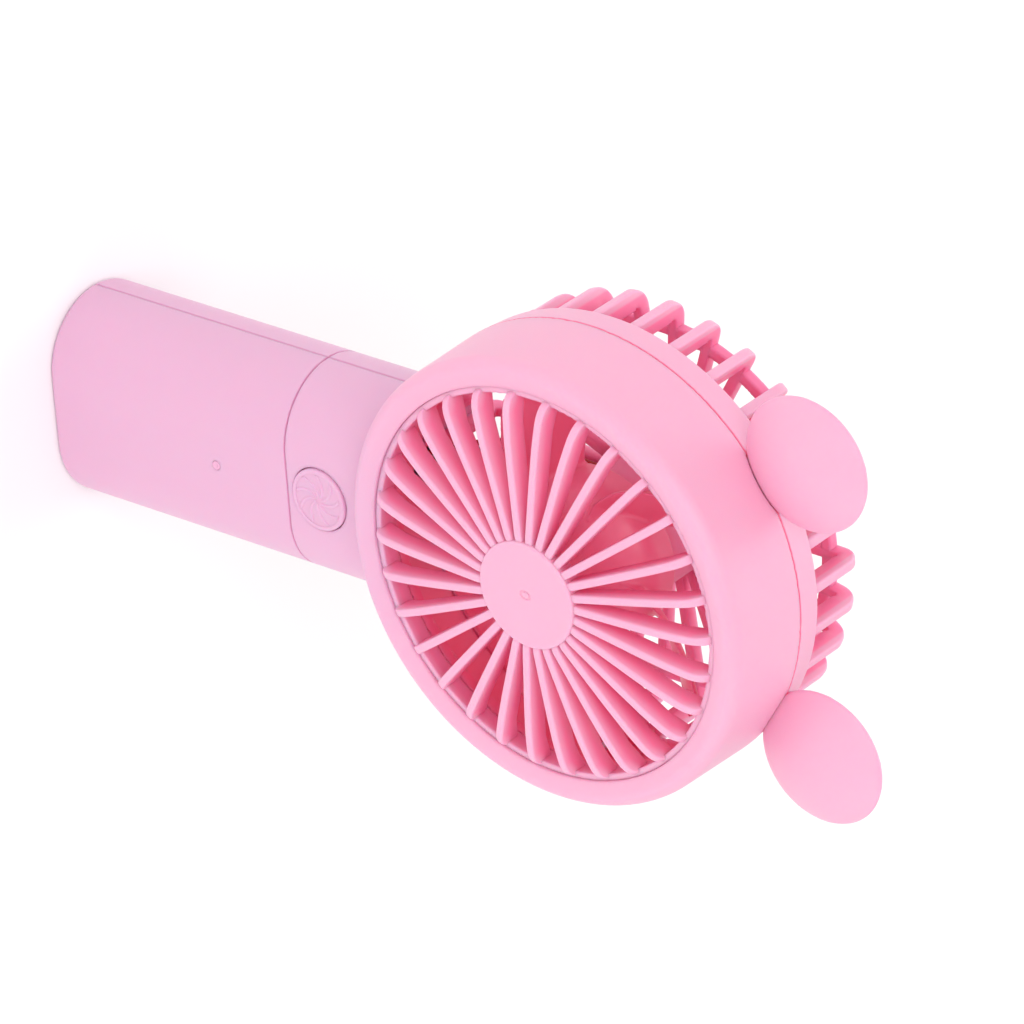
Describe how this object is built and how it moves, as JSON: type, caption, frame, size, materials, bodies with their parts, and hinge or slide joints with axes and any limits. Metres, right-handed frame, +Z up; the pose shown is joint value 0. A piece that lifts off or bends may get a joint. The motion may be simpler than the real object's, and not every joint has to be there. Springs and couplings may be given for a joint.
{
  "type": "handheld electric fan",
  "caption": "Rechargeable handheld fan with a round eared head, radial guard ribs front and rear, a push button and a chunky rounded handle that stands on its flat foot.",
  "frame": {"origin": "centre of the handle's flat bottom face, on the plane where the handle's front and rear shells part", "axes": "+Z up the handle to the head and ears, -Y out of the front grille, +X to the right as seen from the front"},
  "size_m": [0.0988, 0.0495, 0.2016],
  "materials": {
    "head_plastic": "satin moulded plastic, warm light pink",
    "handle_plastic": "matte moulded plastic, cool lilac pink",
    "impeller_plastic": "smooth thin moulded plastic, saturated pink",
    "lens_plastic": "milky light pipe plastic",
    "black_plastic": "moulded black plastic",
    "board_laminate": "green circuit board laminate",
    "steel": "zinc plated steel",
    "battery_wrap": "blue heat shrink wrap over a steel can",
    "nickel": "nickel strip",
    "foam": "grey closed cell foam",
    "bronze": "sintered bronze",
    "copper": "lacquered copper winding",
    "ferrite": "dark ferrite",
    "red_sheath": "soft red wire sheath",
    "black_sheath": "soft black wire sheath"
  },
  "bodies": {
    "housing": {"front_housing": "head_plastic", "rear_housing": "head_plastic", "front_grille": "head_plastic", "handle_front": "handle_plastic", "handle_rear": "handle_plastic", "switch_body": "black_plastic", "indicator_lens": "lens_plastic", "indicator_led": "lens_plastic", "circuit_board": "board_laminate", "control_chip": "black_plastic", "charge_board": "board_laminate", "charging_socket": "steel", "battery_cell": "battery_wrap", "battery_tab_positive": "nickel", "battery_tab_negative": "nickel", "battery_foam_pad": "foam", "motor_can": "steel", "motor_end_cap": "black_plastic", "front_bush": "bronze", "rear_bush": "bronze", "magnet_left": "ferrite", "magnet_right": "ferrite", "neck_screw_left": "steel", "neck_screw_right": "steel", "handle_screw_lower_left": "steel", "handle_screw_lower_right": "steel", "handle_screw_upper_left": "steel", "handle_screw_upper_right": "steel", "head_screw_left": "steel", "head_screw_right": "steel", "motor_screw_lower": "steel", "motor_screw_upper": "steel", "motor_wire_red": "red_sheath", "motor_wire_black": "black_sheath", "battery_wire_red": "red_sheath", "battery_wire_black": "black_sheath", "charge_wire_red": "red_sheath", "charge_wire_black": "black_sheath"},
    "rotor": {"impeller": "impeller_plastic", "motor_shaft": "steel", "armature": "copper", "commutator": "copper"},
    "button": {"power_button": "handle_plastic", "switch_plunger": "black_plastic"}
  },
  "joints": [
    {"name": "impeller_spin", "type": "hinge", "parent": "housing", "child": "rotor", "pos_m": [0, 0, 0.134], "axis": [0, 1, 0], "continuous": true},
    {"name": "power_button_press", "type": "slide", "parent": "housing", "child": "button", "axis": [0, 1, 0], "range_m": [0, 0.0006], "stiffness_N_per_m": 500, "springref_m": -0.001}
  ]
}
